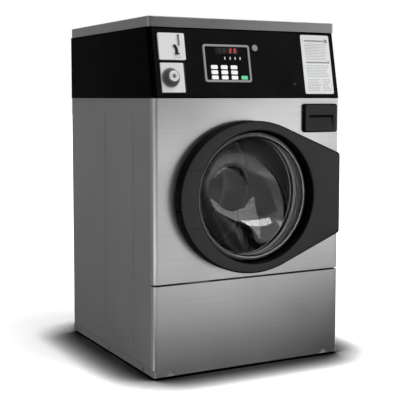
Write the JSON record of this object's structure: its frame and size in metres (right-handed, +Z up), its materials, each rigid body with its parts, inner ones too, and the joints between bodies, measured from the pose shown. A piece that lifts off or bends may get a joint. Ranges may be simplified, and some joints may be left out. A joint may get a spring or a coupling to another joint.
{
  "type": "commercial washing machine",
  "caption": "Coin-operated front-loading commercial washing machine with a swinging round glass door, detergent drawer, key panel and coin box.",
  "frame": {"origin": "on the floor under the middle of the machine's bounding box", "axes": "+Z up, the longest extent; the door and controls face -Y; +X to the right of someone facing the door"},
  "size_m": [0.6854, 0.781, 1.11],
  "materials": {
    "stainless_steel": "brushed",
    "drum_steel": "polished",
    "coin_steel": "satin",
    "lock_chrome": "polished",
    "side_paint": "satin",
    "zinc_steel": "galvanised",
    "hood_black": "satin",
    "fascia_black": "semi-gloss",
    "bezel_grey": "satin",
    "display_dark": "gloss",
    "label_grey": "matt print",
    "key_grey": "satin",
    "key_green": "satin",
    "door_plastic": "fine grain",
    "drawer_plastic": "fine grain",
    "tub_plastic": "moulded",
    "light_plastic": "moulded",
    "black_rubber": "matt",
    "grey_rubber": "matt",
    "clear_glass": "clear",
    "cast_iron": "painted",
    "cast_aluminium": "as cast",
    "concrete": "cast",
    "circuit_board": "lacquered"
  },
  "bodies": {
    "cabinet": {"base_frame": "side_paint", "left_side_panel": "side_paint", "right_side_panel": "side_paint", "rear_panel": "zinc_steel", "rear_access_cover": "zinc_steel", "front_panel": "stainless_steel", "lower_front_panel": "stainless_steel", "top_panel": "stainless_steel", "control_housing": "hood_black", "control_fascia": "fascia_black", "display_bezel": "bezel_grey", "panel_lenses": "display_dark", "instruction_plate": "label_grey", "control_board": "circuit_board", "coin_slot_plate": "coin_steel", "coin_mechanism": "zinc_steel", "panel_screws": "zinc_steel", "cable_gland": "black_rubber", "hinge_bracket": "zinc_steel", "door_lock": "light_plastic", "dispenser_housing": "light_plastic", "inlet_valves": "light_plastic", "drain_pump": "light_plastic", "damper_cylinders": "zinc_steel", "suspension_springs": "zinc_steel", "door_gasket": "grey_rubber", "tub_hoses": "black_rubber"},
    "tub": {"outer_tub": "tub_plastic", "bearing_housing": "cast_iron", "counterweights": "concrete", "motor": "cast_iron", "drive_belt": "black_rubber", "damper_rods": "zinc_steel"},
    "drum": {"drum_basket": "drum_steel", "drum_spider": "cast_aluminium", "drum_pulley": "cast_aluminium"},
    "motor_rotor": {"motor_pulley": "zinc_steel"},
    "door": {"door_frame": "door_plastic", "door_glass": "clear_glass", "glass_retainer": "light_plastic", "door_hardware": "zinc_steel"},
    "drawer": {"drawer_front": "drawer_plastic", "drawer_tray": "light_plastic"},
    "coin_box": {"coin_box": "coin_steel"},
    "vault_lock": {"vault_lock": "lock_chrome"},
    "coin_return_lever": {"coin_return_lever": "lock_chrome"},
    "programme_key_1": {"programme_key_1": "key_grey"},
    "programme_key_2": {"programme_key_2": "key_grey"},
    "programme_key_3": {"programme_key_3": "key_grey"},
    "programme_key_4": {"programme_key_4": "key_grey"},
    "programme_key_5": {"programme_key_5": "key_grey"},
    "programme_key_6": {"programme_key_6": "key_grey"},
    "programme_key_7": {"programme_key_7": "key_grey"},
    "programme_key_8": {"programme_key_8": "key_grey"},
    "programme_key_9": {"programme_key_9": "key_grey"},
    "start_key": {"start_key": "key_green"},
    "levelling_foot_1": {"levelling_foot_1": "black_rubber"},
    "levelling_foot_2": {"levelling_foot_2": "black_rubber"},
    "levelling_foot_3": {"levelling_foot_3": "black_rubber"},
    "levelling_foot_4": {"levelling_foot_4": "black_rubber"}
  },
  "joints": [
    {"name": "tub_suspension", "type": "slide", "parent": "cabinet", "child": "tub", "axis": [0, 0, 1], "range_m": [-0.008, 0.008], "stiffness_N_per_m": 60000, "springref_m": 0.01201, "deforming": ["suspension_springs", "tub_hoses", "door_gasket"]},
    {"name": "drum_spin", "type": "hinge", "parent": "tub", "child": "drum", "pos_m": [0, 0.1515, 0.552], "axis": [0, 1, 0], "continuous": true},
    {"name": "motor_spin", "type": "hinge", "parent": "tub", "child": "motor_rotor", "pos_m": [-0.12, 0.2115, 0.185], "axis": [0, 1, 0], "continuous": true},
    {"name": "door_swing", "type": "hinge", "parent": "cabinet", "child": "door", "pos_m": [-0.2618, -0.3825, 0.552], "axis": [0, 0, -1], "range_deg": [0, 170]},
    {"name": "drawer_slide", "type": "slide", "parent": "cabinet", "child": "drawer", "axis": [0, -1, 0], "range_m": [0, 0.17]},
    {"name": "coin_box_slide", "type": "slide", "parent": "cabinet", "child": "coin_box", "axis": [0, -0.9808, 0.1952], "range_m": [0, 0.15]},
    {"name": "vault_lock_turn", "type": "hinge", "parent": "coin_box", "child": "vault_lock", "pos_m": [-0.2825, -0.3562, 0.92573], "axis": [0, -0.9808, 0.1952], "range_deg": [0, 90]},
    {"name": "coin_return_slide", "type": "slide", "parent": "cabinet", "child": "coin_return_lever", "axis": [0, -0.1952, -0.9808], "range_m": [0, 0.008], "stiffness_N_per_m": 300, "springref_m": -0.004},
    {"name": "programme_key_1_press", "type": "slide", "parent": "cabinet", "child": "programme_key_1", "axis": [0, 0.9808, -0.1952], "range_m": [0, 0.0012], "stiffness_N_per_m": 800, "springref_m": -0.001},
    {"name": "programme_key_2_press", "type": "slide", "parent": "cabinet", "child": "programme_key_2", "axis": [0, 0.9808, -0.1952], "range_m": [0, 0.0012], "stiffness_N_per_m": 800, "springref_m": -0.001},
    {"name": "programme_key_3_press", "type": "slide", "parent": "cabinet", "child": "programme_key_3", "axis": [0, 0.9808, -0.1952], "range_m": [0, 0.0012], "stiffness_N_per_m": 800, "springref_m": -0.001},
    {"name": "programme_key_4_press", "type": "slide", "parent": "cabinet", "child": "programme_key_4", "axis": [0, 0.9808, -0.1952], "range_m": [0, 0.0012], "stiffness_N_per_m": 800, "springref_m": -0.001},
    {"name": "programme_key_5_press", "type": "slide", "parent": "cabinet", "child": "programme_key_5", "axis": [0, 0.9808, -0.1952], "range_m": [0, 0.0012], "stiffness_N_per_m": 800, "springref_m": -0.001},
    {"name": "programme_key_6_press", "type": "slide", "parent": "cabinet", "child": "programme_key_6", "axis": [0, 0.9808, -0.1952], "range_m": [0, 0.0012], "stiffness_N_per_m": 800, "springref_m": -0.001},
    {"name": "programme_key_7_press", "type": "slide", "parent": "cabinet", "child": "programme_key_7", "axis": [0, 0.9808, -0.1952], "range_m": [0, 0.0012], "stiffness_N_per_m": 800, "springref_m": -0.001},
    {"name": "programme_key_8_press", "type": "slide", "parent": "cabinet", "child": "programme_key_8", "axis": [0, 0.9808, -0.1952], "range_m": [0, 0.0012], "stiffness_N_per_m": 800, "springref_m": -0.001},
    {"name": "programme_key_9_press", "type": "slide", "parent": "cabinet", "child": "programme_key_9", "axis": [0, 0.9808, -0.1952], "range_m": [0, 0.0012], "stiffness_N_per_m": 800, "springref_m": -0.001},
    {"name": "start_key_press", "type": "slide", "parent": "cabinet", "child": "start_key", "axis": [0, 0.9808, -0.1952], "range_m": [0, 0.0012], "stiffness_N_per_m": 800, "springref_m": -0.001},
    {"name": "levelling_foot_1_screw", "type": "slide", "parent": "cabinet", "child": "levelling_foot_1", "axis": [0, 0, -1], "range_m": [0, 0.012]},
    {"name": "levelling_foot_2_screw", "type": "slide", "parent": "cabinet", "child": "levelling_foot_2", "axis": [0, 0, -1], "range_m": [0, 0.012]},
    {"name": "levelling_foot_3_screw", "type": "slide", "parent": "cabinet", "child": "levelling_foot_3", "axis": [0, 0, -1], "range_m": [0, 0.012]},
    {"name": "levelling_foot_4_screw", "type": "slide", "parent": "cabinet", "child": "levelling_foot_4", "axis": [0, 0, -1], "range_m": [0, 0.012]}
  ],
  "couplings": [
    {"joint": "motor_spin", "follows": "drum_spin", "ratio": 6.25}
  ]
}
